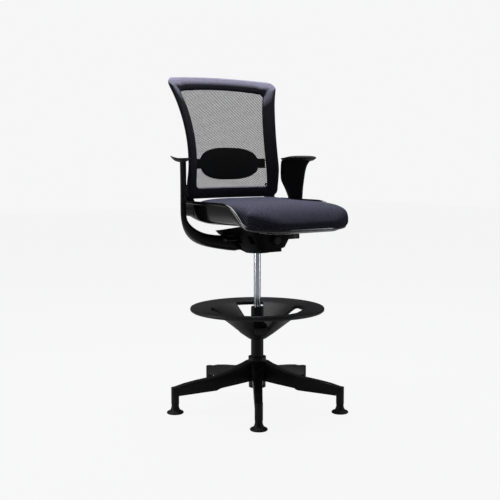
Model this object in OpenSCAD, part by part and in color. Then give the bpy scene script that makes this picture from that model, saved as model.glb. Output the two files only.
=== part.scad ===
// Drafting chair: gas-lift column on a five-leg glide base, adjustable foot
// ring, U-shaped arm yoke, upholstered seat and a mesh back with a lumbar pad.
// The chair faces -Y and the column stands on the Z axis, moved by axis_y so
// that the origin is the middle of the chair's box on the floor.

/* [Base] */
// Radius of the circle through the five feet
foot_circle_r = 339; // [300:1:380]
// Height of the leg ends above the floor
leg_end_h = 103; // [85:1:125]
// Height of the hub's top collar
hub_top = 204; // [185:1:230]
// Diameter of the hub
hub_d = 70; // [66:1:84]
// Diameter of a floor glide
glide_d = 66; // [50:1:80]
// Height of a floor glide
glide_h = 36; // [28:1:42]
// Diameter of the boss at each leg end
leg_boss_d = 31; // [28:1:36]

/* [Column] */
// Outer diameter of the column's outer tube
tube_d = 50; // [46:0.5:56]
// Wall of the outer tube
tube_wall = 2.5; // [1.5:0.5:4]
// Height of the outer tube's top edge
tube_top = 401; // [380:1:420]
// Diameter of the gas cylinder
cylinder_d = 28; // [26:0.5:30]
// Diameter of the piston rod
rod_d = 10; // [8:0.5:12]
// Travel of the seat height, downwards
lift_travel = 200; // [120:1:205]

/* [Foot ring] */
// Outer radius of the foot ring
ring_r = 267; // [230:1:300]
// Height of the ring's rim at rest
ring_top = 403.5; // [395:0.5:410]
// Radial width of the flat tread
ring_tread = 82; // [60:1:100]
// Thickness of the foot ring's wall
ring_wall = 14; // [9:1:18]
// Angle taken by each window
window_angle = 38; // [20:1:55]

/* [Seat] */
// Half width of the seat shell
shell_half_w = 240; // [215:1:243]
// Half width of the seat pad at the front
pad_half_w = 248; // [225:1:262]
// Height of the flat underside of the seat shell
shell_low = 738; // [732:1:748]
// Thickness of the seat shell
shell_wall = 12; // [8:1:16]
// Thickness of the seat pad
pad_thick = 64; // [50:1:68]
// Distance from the column to the seat's front edge
seat_front = 328; // [300:1:345]
// Distance from the column to the seat's rear edge
seat_rear = 140; // [120:1:142]

/* [Arms] */
// Distance of the arm blades from the column, square to the blade
blade_reach = 287; // [280:1:310]
// Angle by which the blades are turned outwards at the front
toe_angle = 36; // [30:1:40]
// Thickness of an arm blade
blade_t = 21; // [14:1:26]
// Height of the top of the arm pads
arm_top = 1002; // [960:1:1040]
// Width of an arm pad
arm_pad_w = 80; // [60:1:95]
// Length of an arm pad
arm_pad_l = 148; // [120:1:150]

/* [Back] */
// Height of the middle of the back's top edge
back_top = 1320; // [1240:1:1400]
// Half width of the back at the top corners
back_half_w = 274; // [245:1:295]
// Half width of the back at its waist
waist_half_w = 221; // [205:1:222]
// Radius of the back's curve in plan
back_plan_r = 1100; // [800:10:2000]
// Thickness of the back frame
back_t = 16; // [10:1:22]
// Thickness of the mesh
mesh_t = 1.6; // [1:0.1:3]
// Half width of the lumbar pad
lumbar_half_w = 145; // [110:1:155]
// Height of the lumbar pad
lumbar_h = 130; // [90:1:140]

/* [Fits] */
// Radial clearance of a running fit
run_fit = 0.05; // [0.01:0.01:0.1]
// Radial clearance of a tube seated in the hub
seat_fit = 0.05; // [0.01:0.01:0.1]
// Gap between soft or curved faces and their neighbours
soft_gap = 0.3; // [0.3:0.1:1]
// Gap between the mesh and the frame behind it
mesh_gap = 2.4; // [2.2:0.1:3.5]

/* [Hidden] */
$fn = 64;

legs = 5;
leg_step = 360 / legs;
// The rear foot and the seat's front edge are the ends of the chair along Y.
rear_reach = foot_circle_r + glide_d / 2;
axis_y = (seat_front - rear_reach) / 2;

hub_low = 80;
tube_low = 84;
tube_floor = 6;
tube_in_d = tube_d - 2 * tube_wall;
stem_d = 11;
stem_low = 24;
stem_top = leg_end_h - 37;

bush_l = 106;
bush_flange = 4;
bearing_low = tube_low + tube_floor;
bearing_h = 6;
washer_h = 2;
washer_gap = 0.3;
buffer_low = bearing_low + bearing_h + washer_gap + washer_h;
buffer_h = 24;
buffer_d = 24;
clip_h = 2.4;
rod_low = tube_low - 5;
// The cylinder's lower end stops 6 mm above the buffer at the bottom of its travel.
cylinder_low = buffer_low + buffer_h + 6 + lift_travel;
lift_rise = 20;
guide_h = 16;
piston_low = cylinder_low + guide_h + lift_rise + 3;
piston_h = 14;
cylinder_top = 664;
cylinder_wall = 2;
cylinder_in_d = cylinder_d - 2 * cylinder_wall;
valve_d = 8;
valve_stroke = 3;
valve_top = cylinder_top + 10;

sleeve_wall = 4;
sleeve_low = ring_top - 126;
sleeve_top = ring_top - 50;
ring_neck_r = tube_d / 2 + sleeve_wall + run_fit + 5;
collar_low = ring_top - 88;
collar_h = 22;
collar_grip = 10;
window_turn = -26.4;
windows = 4;

mech_half_w = 50;
mech_front = -98;
mech_rear = 104;
mech_low = 630;
mech_top = 708;
mech_wall = 4;
socket_d = 46;
cover_low = 622;
cover_top = 729;
cover_top_rear = 705;
cover_front = -125;
cover_rear = 143;
cover_half_front = 110;
cover_half_rear = 118;
cover_corner_r = 34;
cover_wall = 3;
cover_foot_d = 96;
axle_d = 12;
axle_y = -42;
axle_z = 696;
cheek_gap = 1;
cheek_t = 4;
bracket_t = 5;
spring_d = 30;
spring_wire = 5;
spring_front = mech_front + mech_wall + 5;
spring_rear = axle_y - 19;
spring_z = 678;
spring_turns = 4;
screw_d = 10;
knob_d = 32;
knob_l = 28;
lever_d = 8;
lever_z = valve_top + lever_d / 2 + 0.3;
lever_pivot_x = -34;
lever_pin_d = 5;
lever_reach = 158;
lock_reach = 148;
lock_y = -76;
lock_z = 684;

blade_front = -108;
blade_rear = -54;
blade_low = 722;
yoke_reach = blade_reach * cos(toe_angle) + blade_t / 2 + 62;
yoke_low = 628;
arm_root_x = mech_half_w;
bolt_d = 8;
bolt_rows = [42, 82];
bolt_z = 660;
arm_pad_t = 10;
arm_screw_d = 5;
arm_screw_rows = [-60, -100];
arm_dish_r = 160;

pivot_y = 165;
pivot_z = 790;
pivot_d = 10;
seat_screw_d = 6;
seat_screw_x = 75;
seat_screw_rows = [-70, 80];
ear_r = 20;
ear_t = 12;
rail_top = 820;
pad_corner_w = 115;
pad_corner_l = 72;
shell_front_r = 84;
shell_rear_r = 44;
upright_in = shell_half_w - 60;
upright_top = 888;
screw_x = upright_in + 25;
back_screw_d = 6;
screw_z = 860;
upright_out = shell_half_w - ear_t - soft_gap;

waist_z = 970;
bow_z = 900;
bow_y = 182;
bow_top = 0.6 / 1000;
bow_low = 1 / 1000;
side_roll = 14;
roll_low = 862;
roll_fade = 100;
border_rings = 4;
corner_r = 30;
opening_corner_r = 16;
bar_low = 832;
opening_low = 876;
border_top = 50;
border_side = 50;
corner_drop = 13;

function sq(v) = v * v;
function mix(a, b, t) = a + (b - a) * t;
function smooth(t) = let (c = max(0, min(1, t))) c * c * (3 - 2 * c);

// Height of the back's neutral surface along Y at a point of its face
function back_y(x, z) = bow_y + (z > bow_z ? bow_top : bow_low) * sq(z - bow_z)
  - sq(x) / (2 * back_plan_r)
  - side_roll * smooth((z - roll_low) / roll_fade)
    * max(0, (abs(x) - back_half(z) + border_side) / border_side);

// Half width of the back's outline at a height
function back_half(z) = z > waist_z + 60
  ? mix(waist_half_w, back_half_w, sq((z - waist_z - 60) / (back_top - waist_z - 60)))
  : mix(waist_half_w, waist_half_w + 6, smooth((waist_z + 60 - z) / 150));

// Outline of a rounded panel between two heights, inset from the back's edge. It runs
// once round from the right of the bottom edge: four round corners and four sides.
side_steps = 20;
edge_steps = 10;
corner_steps = 6;
function panel_corner(h, w, r, a) = [for (i = [0:corner_steps]) let (b = a + 90 * i / corner_steps)
  [sign(cos(a + 45)) * (w - r) + r * cos(b), sign(sin(a + 45)) * (h - r) + r * sin(b)]];
function panel_run(from, to, steps) = [for (i = [1:steps - 1])
  [mix(from[0], to[0], i / steps), mix(from[1], to[1], i / steps)]];
function panel_outline(low, high, inset, r) = let (
    h = (high - low) / 2, w = waist_half_w - inset,
    square = concat(
      panel_corner(h, w, r, -90), panel_run([w, r - h], [w, h - r], side_steps),
      panel_corner(h, w, r, 0), panel_run([w - r, h], [r - w, h], edge_steps),
      panel_corner(h, w, r, 90), panel_run([-w, h - r], [-w, r - h], side_steps),
      panel_corner(h, w, r, 180), panel_run([r - w, -h], [w - r, -h], edge_steps))
  ) [for (p = square) let (z = (low + high) / 2 + p[1])
      [p[0] / w * (back_half(z) - inset),
       z - corner_drop * sq(p[0] / w) * smooth(p[1] / h * 2 - 1)]];

// A ring or sheet that follows the back's curved surface
function on_back(p, off) = [p[0], back_y(p[0], p[1]) + off, p[1]];

module place() { translate([0, axis_y, 0]) children(); }

module both_sides() { children(); mirror([1, 0, 0]) children(); }

module round_rect(w, d, r) {
  hull() for (x = [-1, 1], y = [-1, 1])
    translate([x * (w / 2 - r), y * (d / 2 - r)]) circle(r, $fn = 32);
}

module tube(d_out, d_in, low, high) {
  translate([0, 0, low]) difference() {
    cylinder(d = d_out, h = high - low);
    translate([0, 0, -1]) cylinder(d = d_in, h = high - low + 2);
  }
}

module at_feet() {
  for (i = [0:legs - 1]) rotate([0, 0, 90 + i * leg_step]) translate([foot_circle_r, 0, 0]) children();
}

// Rods and bolts along X or Y
module x_rod(d, from, to, y, z) {
  translate([from, y, z]) rotate([0, 90, 0]) cylinder(d = d, h = to - from);
}
module y_rod(d, from, to, x, z) {
  translate([x, to, z]) rotate([90, 0, 0]) cylinder(d = d, h = to - from);
}

// ---------------------------------------------------------------- base

leg_profile = [
  [20, hub_low + 32], [95, 98], [157, 88], [175, 80], [249, 75], [foot_circle_r - 15, 70],
  [foot_circle_r, 70], [foot_circle_r, leg_end_h], [foot_circle_r - 40, leg_end_h + 11],
  [249, leg_end_h + 20], [172, leg_end_h + 31], [121, leg_end_h + 45], [84, leg_end_h + 60],
  [48, hub_top - 23], [20, hub_top - 12]
];

module leg() {
  intersection() {
    rotate([90, 0, 0]) translate([0, 0, -40]) linear_extrude(80) polygon(leg_profile);
    linear_extrude(hub_top) polygon([
      [0, -24], [36, -24], [110, -18], [foot_circle_r, -leg_boss_d / 2 + 1],
      [foot_circle_r, leg_boss_d / 2 - 1], [110, 18], [36, 24], [0, 24]
    ]);
  }
}

module base_spider() {
  color([0.07, 0.07, 0.08]) place() difference() {
    union() {
      translate([0, 0, hub_low]) cylinder(d = hub_d - 2, h = hub_top - hub_low - 18);
      translate([0, 0, hub_top - 20]) cylinder(d = hub_d + 1, h = 20);
      for (i = [0:legs - 1]) rotate([0, 0, 90 + i * leg_step]) {
        leg();
        translate([foot_circle_r, 0, glide_h + 1])
          cylinder(d = leg_boss_d, h = leg_end_h - glide_h - 1);
      }
    }
    translate([0, 0, hub_low - 1]) cylinder(d = tube_d + 2 * seat_fit, h = hub_top - hub_low + 2);
    at_feet() translate([0, 0, glide_h])
      cylinder(d = stem_d + 2 * seat_fit, h = stem_top - glide_h);
  }
}

module glide_stems() {
  color([0.6, 0.6, 0.62]) place() at_feet()
    translate([0, 0, stem_low]) cylinder(d = stem_d, h = stem_top - stem_low);
}

module floor_glides() {
  neck_r = leg_boss_d / 2 - 1;
  color([0.06, 0.06, 0.06]) place() at_feet() difference() {
    rotate_extrude() polygon(concat(
      [[0, 0], [glide_d / 2 - 2, 0], [glide_d / 2, 2], [glide_d / 2, 5]],
      [for (a = [0:10:90]) [mix(glide_d / 2 - 3, neck_r, sin(a)), mix(glide_h - 4, 8, cos(a))]],
      [[neck_r, glide_h], [0, glide_h]]));
    translate([0, 0, stem_low]) cylinder(d = stem_d + 2 * seat_fit, h = glide_h);
  }
}

// ---------------------------------------------------------------- column

module lift_outer_tube() {
  color([0.05, 0.05, 0.05]) place() {
    difference() {
      translate([0, 0, tube_low]) cylinder(d = tube_d, h = tube_top - tube_low);
      translate([0, 0, bearing_low]) cylinder(d = tube_in_d, h = tube_top);
      translate([0, 0, tube_low - 1]) cylinder(d = rod_d + 4, h = tube_floor + 2);
    }
  }
}

module guide_bush() {
  color([0.1, 0.1, 0.1]) place() difference() {
    union() {
      translate([0, 0, tube_top - bush_l]) cylinder(d = tube_in_d - 2 * seat_fit, h = bush_l);
      translate([0, 0, tube_top]) cylinder(d = tube_d - 2, h = bush_flange);
    }
    translate([0, 0, tube_top - bush_l - 1])
      cylinder(d = cylinder_d + 2 * run_fit, h = bush_l + bush_flange + 2);
  }
}

module thrust_bearing() {
  color([0.7, 0.7, 0.72]) place()
    tube(buffer_d + 2, rod_d + 1, bearing_low, bearing_low + bearing_h);
}

module bearing_washer() {
  color([0.75, 0.75, 0.77]) place()
    tube(buffer_d, rod_d + 2 * run_fit, buffer_low - washer_h, buffer_low);
}

module rubber_buffer() {
  color([0.12, 0.12, 0.12]) place()
    tube(buffer_d, rod_d + 2 * run_fit, buffer_low, buffer_low + buffer_h);
}

module piston_rod() {
  color([0.8, 0.8, 0.82]) place()
    translate([0, 0, rod_low]) cylinder(d = rod_d, h = piston_low + piston_h - rod_low);
}

module piston_head() {
  color([0.4, 0.4, 0.42]) place()
    tube(cylinder_in_d - 2 * run_fit, rod_d + 2 * run_fit, piston_low, piston_low + piston_h);
}

module rod_clip() {
  color([0.5, 0.5, 0.52]) place()
    tube(2 * rod_d, rod_d + 2 * run_fit, tube_low - washer_gap - clip_h, tube_low - washer_gap);
}

module gas_cylinder() {
  plug_h = 12;
  color([0.85, 0.85, 0.87]) place() difference() {
    translate([0, 0, cylinder_low]) cylinder(d = cylinder_d, h = cylinder_top - cylinder_low);
    translate([0, 0, cylinder_low - 1])
      cylinder(d = cylinder_in_d, h = cylinder_top - plug_h - cylinder_low + 1);
    translate([0, 0, cylinder_low]) cylinder(d = valve_d + 2 * run_fit, h = cylinder_top);
  }
}

module rod_guide() {
  color([0.2, 0.2, 0.2]) place()
    tube(cylinder_in_d - 2 * run_fit, rod_d + 2 * run_fit, cylinder_low, cylinder_low + guide_h);
}

module valve_pin() {
  color([0.75, 0.6, 0.3]) place()
    translate([0, 0, cylinder_top - 14]) cylinder(d = valve_d, h = valve_top - cylinder_top + 14);
}

// ---------------------------------------------------------------- foot ring

// Fall of the bowl's upper surface below the rim, by radius: a flat tread, then a cone
function bowl_fall(r) = let (t = max(0, (ring_r - ring_tread - r) / (ring_r - ring_tread - ring_neck_r)))
  6 * smooth((ring_r - r) / ring_tread) + 95 * pow(t, 1.1);

bowl_steps = 18;

module footring_bowl() {
  radii = [for (i = [0:bowl_steps]) mix(ring_neck_r, ring_r - 5, i / bowl_steps)];
  in_r = tube_d / 2 + sleeve_wall + run_fit;
  color([0.12, 0.12, 0.13]) place() difference() {
    rotate_extrude($fn = 96) polygon(concat(
      [[in_r, ring_top - 110], [in_r, ring_top - 124], [ring_neck_r, ring_top - 124]],
      [for (r = radii) [r, ring_top - bowl_fall(r) - ring_wall - 12 * smooth((170 - r) / 120)]],
      [[ring_r - 1, ring_top - ring_wall + 3], [ring_r, ring_top - ring_wall + 5],
       [ring_r, ring_top - 4], [ring_r - 1.5, ring_top - 1]],
      [for (i = [bowl_steps:-1:0]) [radii[i], ring_top - bowl_fall(radii[i])]],
      [[in_r, ring_top - bowl_fall(ring_neck_r)]]));
    for (k = [0:windows - 1]) rotate([0, 0, window_turn + k * 360 / windows])
      bowl_window();
  }
}

// A window with radial sides and round corners
module bowl_window() {
  outer = ring_r - ring_tread;
  inner = ring_neck_r + 38;
  corner = 11;
  translate([0, 0, ring_top - 140]) linear_extrude(150) hull() {
    for (side = [-1, 1]) rotate(side * window_angle / 2) {
      translate([outer - corner, -side * corner]) circle(corner, $fn = 32);
      translate([inner + corner, -side * corner]) circle(corner, $fn = 32);
    }
    for (a = [-0.5:0.25:0.5]) rotate(a * window_angle * 0.8)
      translate([outer - corner, 0]) circle(corner, $fn = 32);
  }
}

module footring_sleeve() {
  slit = 4;
  color([0.15, 0.15, 0.16]) place() difference() {
    tube(tube_d + 2 * sleeve_wall, tube_d + 2 * run_fit, sleeve_low, sleeve_top);
    for (a = [45, 135]) rotate([0, 0, a])
      translate([-tube_d, -slit / 2, sleeve_top - 30]) cube([2 * tube_d, slit, 40]);
  }
}

module locking_collar() {
  in_d = tube_d + 2 * sleeve_wall + 2 * run_fit;
  out_d = in_d + 2 * collar_grip;
  ribs = 16;
  color([0.1, 0.1, 0.1]) place() difference() {
    tube(out_d, in_d, collar_low, collar_low + collar_h);
    for (i = [0:ribs - 1]) rotate([0, 0, i * 360 / ribs])
      translate([out_d / 2 + 1, 0, collar_low + 3]) cylinder(d = 5, h = collar_h, $fn = 24);
  }
}

// ---------------------------------------------------------------- mechanism

module mech_tray(half_w, front, rear, low, high, wall) {
  difference() {
    translate([0, (front + rear) / 2, low])
      linear_extrude(high - low) round_rect(2 * half_w, rear - front, 10);
    translate([0, (front + rear) / 2, low + wall]) linear_extrude(high - low)
      round_rect(2 * (half_w - wall), rear - front - 2 * wall, 10 - wall);
  }
}

module mechanism_housing() {
  color([0.16, 0.16, 0.17]) place() difference() {
    union() {
      mech_tray(mech_half_w, mech_front, mech_rear, mech_low, mech_top, mech_wall);
      translate([0, 0, mech_low]) cylinder(d = socket_d, h = cylinder_top - mech_low);
    }
    translate([0, 0, mech_low - 1]) cylinder(d = cylinder_d + 2 * seat_fit, h = mech_top);
    x_rod(axle_d + 2 * run_fit, -mech_half_w - 1, mech_half_w + 1, axle_y, axle_z);
    y_rod(screw_d + 2 * run_fit, mech_front - 1, mech_front + 10, 0, spring_z);
    x_rod(lever_d + 2 * run_fit, 0, mech_half_w + 1, lock_y, lock_z);
    // Slot for the lift lever, which rocks up and down in it
    translate([-mech_half_w - 1, -9, lever_z - 9]) cube([20, 18, mech_top]);
    for (y = bolt_rows, s = [-1, 1])
      x_rod(bolt_d + 2 * seat_fit, s > 0 ? 30 : -70, s > 0 ? 70 : -30, y, bolt_z);
    // Seats for the lever's pivot pin
    y_rod(lever_pin_d + 2 * seat_fit, -30, 30, lever_pivot_x, lever_z);
  }
}

// The cover is a tapered fairing round the housing, wider towards the rear. Its top
// falls away behind the axle, clear of the seat as it tilts.
module cover_form(wall) {
  lip = wall > 0 ? 1 : 0;
  r = cover_corner_r;
  hull() {
    translate([0, 0, cover_low + wall]) cylinder(d = cover_foot_d - 2 * wall, h = 1, $fn = 48);
    translate([0, 4, mech_low + 16 + wall]) linear_extrude(1)
      round_rect(136 - 2 * wall, 224 - 2 * wall, 30);
    for (s = [-1, 1]) {
      translate([s * (cover_half_front - r), cover_front + r, cover_top + lip - 1])
        cylinder(r = r - wall, h = 1, $fn = 48);
      translate([s * (cover_half_front + 3 - r), axle_y, cover_top + lip - 1])
        cylinder(r = r - wall, h = 1, $fn = 48);
      translate([s * (cover_half_rear - r), cover_rear - r, cover_top_rear + lip - 1])
        cylinder(r = r - wall, h = 1, $fn = 48);
    }
  }
}

module mechanism_cover() {
  color([0.06, 0.06, 0.06]) place() difference() {
    cover_form(0);
    difference() {
      cover_form(cover_wall);
      // Floor pad that the housing stands on
      translate([0, 0, cover_low]) cylinder(d = 60, h = mech_low - 0.2 - cover_low);
    }
    translate([0, (mech_front + mech_rear) / 2, mech_low - 0.2]) linear_extrude(100)
      round_rect(2 * mech_half_w + 0.4, mech_rear - mech_front + 0.4, 10);
    translate([0, 0, cover_low - 1]) cylinder(d = cylinder_d + 6, h = 30);
    // Ways out for the arms, the levers and the tension knob
    for (s = [-1, 1]) translate([s * 85 - 45, 16, yoke_low - 8]) cube([90, 112, 70]);
    for (y = [0, lock_y]) translate([-120, y - 14, 664]) cube([240, 28, 34]);
    y_rod(knob_d + 6, mech_front - 40, mech_front + 4, 0, spring_z);
    translate([-knob_d / 2 - 3, mech_front - 40, spring_z]) cube([knob_d + 6, 44, 60]);
  }
}

module tilt_axle() {
  color([0.7, 0.7, 0.72]) place()
    x_rod(axle_d, -mech_half_w - 9, mech_half_w + 9, axle_y, axle_z);
}

// One ring of the spring's sweep, square to a coil of small pitch
function coil_ring(t) = let (
    a = 360 * spring_turns * t,
    y = mix(spring_front + spring_wire / 2, spring_rear - spring_wire / 2, t)
  ) [for (k = [0:7]) let (
      b = k * 45,
      r = (spring_d - spring_wire) / 2 + spring_wire / 2 * cos(b)
    ) [r * cos(a), y + spring_wire / 2 * sin(b), spring_z + r * sin(a)]];

module tilt_spring() {
  n = 18 * spring_turns;
  rings = [for (i = [0:n]) coil_ring(i / n)];
  color([0.55, 0.56, 0.6]) place() polyhedron(
    points = [for (ring = rings) each ring],
    faces = concat(
      [[for (k = [0:7]) k]],
      [for (i = [0:n - 1], k = [0:7]) let (k2 = (k + 1) % 8)
        [8 * i + k, 8 * (i + 1) + k, 8 * (i + 1) + k2, 8 * i + k2]],
      [[for (k = [7:-1:0]) 8 * n + k]]));
}

module tension_screw() {
  color([0.65, 0.65, 0.67]) place()
    y_rod(screw_d, mech_front - 12, spring_rear - 8, 0, spring_z);
}

module tension_knob() {
  lobes = 8;
  color([0.05, 0.05, 0.05]) place() difference() {
    y_rod(knob_d, mech_front - 6 - knob_l, mech_front - 6, 0, spring_z);
    y_rod(screw_d + 2 * run_fit, mech_front - 20, mech_front, 0, spring_z);
    for (i = [0:lobes - 1]) translate([0, 0, spring_z]) rotate([0, i * 360 / lobes, 0])
      y_rod(9, mech_front - knob_l - 10, mech_front - 14, knob_d / 2 + 2, 0);
  }
}

module lever_paddle(from, to, y, z, size) {
  translate([from, y, z]) rotate([0, 90, 0]) linear_extrude(to - from) round_rect(size[0], size[1], 4);
}

module lift_lever() {
  color([0.05, 0.05, 0.05]) place() difference() {
    union() {
      x_rod(lever_d, -lever_reach + 20, valve_d / 2 + 2, 0, lever_z);
      lever_paddle(-lever_reach, -lever_reach + 56, 0, lever_z, [9, 26]);
      y_rod(13, -7, 7, lever_pivot_x, lever_z);
    }
    y_rod(lever_pin_d + 2 * run_fit, -10, 10, lever_pivot_x, lever_z);
  }
}

module lever_pivot() {
  color([0.7, 0.7, 0.7]) place() {
    y_rod(lever_pin_d, -14, 14, lever_pivot_x, lever_z);
    for (y = [-12, 12]) translate([lever_pivot_x, y, lever_z]) difference() {
      translate([-5, -1.5, mech_low + mech_wall - lever_z]) cube([10, 3, lever_z + 6 - mech_low - mech_wall]);
      y_rod(lever_pin_d + 2 * seat_fit, -3, 3, 0, 0);
    }
  }
}

module tilt_lock_lever() {
  color([0.05, 0.05, 0.05]) place() {
    x_rod(lever_d, 22, lock_reach - 20, lock_y, lock_z);
    lever_paddle(lock_reach - 50, lock_reach, lock_y, lock_z, [20, 14]);
  }
}

// ---------------------------------------------------------------- arms

module arm_turn() { rotate([0, 0, toe_angle]) children(); }

// Quarter of a superellipse from the middle of the chair out to one side
function quarter(a, b, p, z, back) = [for (i = [0:24]) let (t = back ? 90 - i * 3.75 : i * 3.75)
  [a * pow(sin(t), 2 / p), z - b * pow(cos(t), 2 / p)]];

blade_profile = [
  [blade_front, blade_low], [blade_front, arm_top - 150], [blade_front - 3, arm_top - 116],
  [blade_front - 8, arm_top - 83], [blade_front - 16, arm_top - 55],
  [blade_front - 24, arm_top - 36], [blade_front - 36, arm_top - 20],
  [blade_front - 48, arm_top - 12], [-16, arm_top - 12], [-14, arm_top - 50],
  [-15, arm_top - 100], [-24, arm_top - 118], [-38, arm_top - 148], [-50, arm_top - 180],
  [blade_rear, arm_top - 210], [blade_rear, blade_low]
];

module yoke() {
  outer_n = blade_reach + blade_t / 2;
  inner_n = blade_reach - blade_t / 2;
  function corner(n, y) = [n * cos(toe_angle) - y * sin(toe_angle), n * sin(toe_angle) + y * cos(toe_angle)];
  far = corner(outer_n, blade_front)[0];
  near = corner(inner_n, blade_rear)[0];
  difference() {
    union() {
      arm_turn() translate([inner_n, 0, 0]) rotate([90, 0, 90])
        linear_extrude(blade_t) polygon(blade_profile);
      intersection() {
        translate([0, 160, 0]) rotate([90, 0, 0]) linear_extrude(200) polygon(concat(
          quarter(far, 745 - yoke_low, 2.3, 745, false),
          quarter(near + 6, 73, 3, 760, true)));
        linear_extrude(760) polygon([
          [arm_root_x, 24], [150, 46], [230, 68], corner(inner_n, blade_front),
          corner(outer_n, blade_front), corner(outer_n, blade_rear), [225, 132], [120, 112],
          [arm_root_x, 98]
        ]);
      }
    }
    for (y = bolt_rows) x_rod(bolt_d + 2 * seat_fit, 30, 82, y, bolt_z);
    // Upper side of the root, cut flat below the seat's bracket
    translate([40, -10, bolt_z + 28]) cube([110, 160, 100]);
    // Screw holes up into the arm pad
    arm_turn() for (y = arm_screw_rows) translate([blade_reach, y, arm_top - 46])
      cylinder(d = arm_screw_d + 2 * seat_fit, h = 60);
  }
}

module yoke_left() { color([0.05, 0.05, 0.05]) place() yoke(); }
module yoke_right() { color([0.05, 0.05, 0.05]) place() mirror([1, 0, 0]) yoke(); }

module yoke_bolts() {
  color([0.3, 0.3, 0.32]) place() both_sides() for (y = bolt_rows) {
    x_rod(bolt_d, mech_half_w - mech_wall, 80, y, bolt_z);
    x_rod(13, mech_half_w - mech_wall - 6, mech_half_w - mech_wall, y, bolt_z);
  }
}

// A saddle-shaped pad: a plan outline cut from a dished sheet
module arm_pad() {
  front = blade_front - 54;
  mid = front + arm_pad_l / 2;
  offset_out = 7;
  arm_turn() translate([blade_reach + offset_out, mid, 0]) difference() {
    intersection() {
      translate([0, 0, arm_top - 30]) linear_extrude(30) round_rect(arm_pad_w, arm_pad_l, 26);
      translate([0, 0, arm_top + arm_dish_r - 12 + 5 + 2]) difference() {
        y_rod(2 * (arm_dish_r + arm_pad_t - 4 + 3), -200, 200, 0, 0);
        y_rod(2 * (arm_dish_r - 0.2), -210, 210, 0, 0);
      }
    }
    for (y = arm_screw_rows) translate([-offset_out, y - mid, arm_top - 40])
      cylinder(d = arm_screw_d + 2 * seat_fit, h = 36);
    // Flat seat on the top of the blade
    translate([-60 - offset_out, -200, arm_top - 42]) cube([120, 400, 30]);
  }
}

module arm_pad_left() { color([0.06, 0.06, 0.06]) place() arm_pad(); }
module arm_pad_right() { color([0.06, 0.06, 0.06]) place() mirror([1, 0, 0]) arm_pad(); }

module arm_pad_screws() {
  color([0.5, 0.5, 0.5]) place() both_sides() arm_turn()
    for (y = arm_screw_rows) translate([blade_reach, y, arm_top - 40]) cylinder(d = arm_screw_d, h = 30);
}

// ---------------------------------------------------------------- seat

module at_seat_screws() {
  for (x = [-seat_screw_x, seat_screw_x], y = seat_screw_rows) translate([x, y, 0]) children();
}

module seat_bracket() {
  inner = mech_half_w + cheek_gap;
  plate_top = shell_low;
  color([0.2, 0.2, 0.21]) place() difference() {
    union() {
      translate([0, 5, plate_top - bracket_t]) linear_extrude(bracket_t) round_rect(190, 190, 14);
      both_sides() translate([inner, axle_y - 24, axle_z - 11])
        cube([cheek_t, 48, plate_top - bracket_t - axle_z + 12]);
      // Lug that pushes the tilt spring
      translate([-16, axle_y - 13, spring_z - 12]) cube([32, 4, plate_top - bracket_t - spring_z + 13]);
    }
    x_rod(axle_d + 2 * run_fit, -80, 80, axle_y, axle_z);
    y_rod(screw_d + 6, axle_y - 20, axle_y, 0, spring_z);
    translate([-screw_d / 2 - 3, axle_y - 20, spring_z - 20]) cube([screw_d + 6, 12, 20]);
    at_seat_screws() translate([0, 0, plate_top - 20]) cylinder(d = seat_screw_d + 2 * seat_fit, h = 40);
  }
}

shell_profile = [
  [seat_rear + 6, shell_low + 14], [100, shell_low + 5], [60, shell_low], [-170, shell_low],
  [-205, shell_low - 6], [-290, shell_low - 12], [-seat_front + 12, shell_low - 12],
  [-seat_front + 8, shell_low - 2], [-seat_front + 12, shell_low + 2], [-290, shell_low],
  [-205, shell_low + 6], [-170, shell_low + shell_wall], [60, shell_low + shell_wall],
  [100, shell_low + 5 + shell_wall], [seat_rear + 6, shell_low + 14 + shell_wall]
];

rail_profile = [
  [seat_rear + 6, shell_low + 14], [100, shell_low + 5], [60, shell_low], [-170, shell_low],
  [-205, shell_low - 6], [-240, shell_low - 9], [-240, shell_low + 2], [-225, shell_low + 12],
  [-191, shell_low + 45], [-165, shell_low + 66], [-135, shell_low + 78], [-100, rail_top],
  [seat_rear + 6, rail_top]
];

// The shell seen from the front: a shallow tub with sloping lower edges
module shell_section() {
  polygon([
    [-shell_half_w, 900], [-shell_half_w, shell_low + 30], [-shell_half_w + 10, shell_low + 12],
    [-shell_half_w + 34, shell_low], [-shell_half_w + 40, shell_low - 30],
    [shell_half_w - 40, shell_low - 30], [shell_half_w - 34, shell_low],
    [shell_half_w - 10, shell_low + 12], [shell_half_w, shell_low + 30], [shell_half_w, 900]
  ]);
}

module seat_shell() {
  rail_t = ear_t;
  color([0.05, 0.05, 0.05]) place() difference() {
    union() {
      intersection() {
        union() {
          rotate([90, 0, 90]) translate([0, 0, -shell_half_w])
            linear_extrude(2 * shell_half_w) polygon(shell_profile);
          for (x = [-shell_half_w, shell_half_w - rail_t]) translate([x, 0, 0]) rotate([90, 0, 90])
            linear_extrude(rail_t) polygon(rail_profile);
        }
        translate([0, 400, 0]) rotate([90, 0, 0]) linear_extrude(900) shell_section();
        translate([0, 0, 600]) linear_extrude(300) hull() both_sides() {
          translate([shell_half_w - shell_front_r, shell_front_r - seat_front])
            circle(shell_front_r, $fn = 64);
          translate([shell_half_w - shell_rear_r, seat_rear + 6 - shell_rear_r])
            circle(shell_rear_r, $fn = 64);
        }
      }
      // Ears that carry the back's pivots
      both_sides() {
        x_rod(2 * ear_r, shell_half_w - ear_t, shell_half_w, pivot_y, pivot_z);
        translate([shell_half_w - ear_t, 80, pivot_z - ear_r])
          cube([ear_t, pivot_y - 80, 2 * ear_r]);
      }
    }
    x_rod(pivot_d + 2 * run_fit, -shell_half_w - 1, shell_half_w + 1, pivot_y, pivot_z);
    at_seat_screws() translate([0, 0, shell_low - 1]) cylinder(d = seat_screw_d + 2 * seat_fit, h = 9);
  }
}

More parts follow.
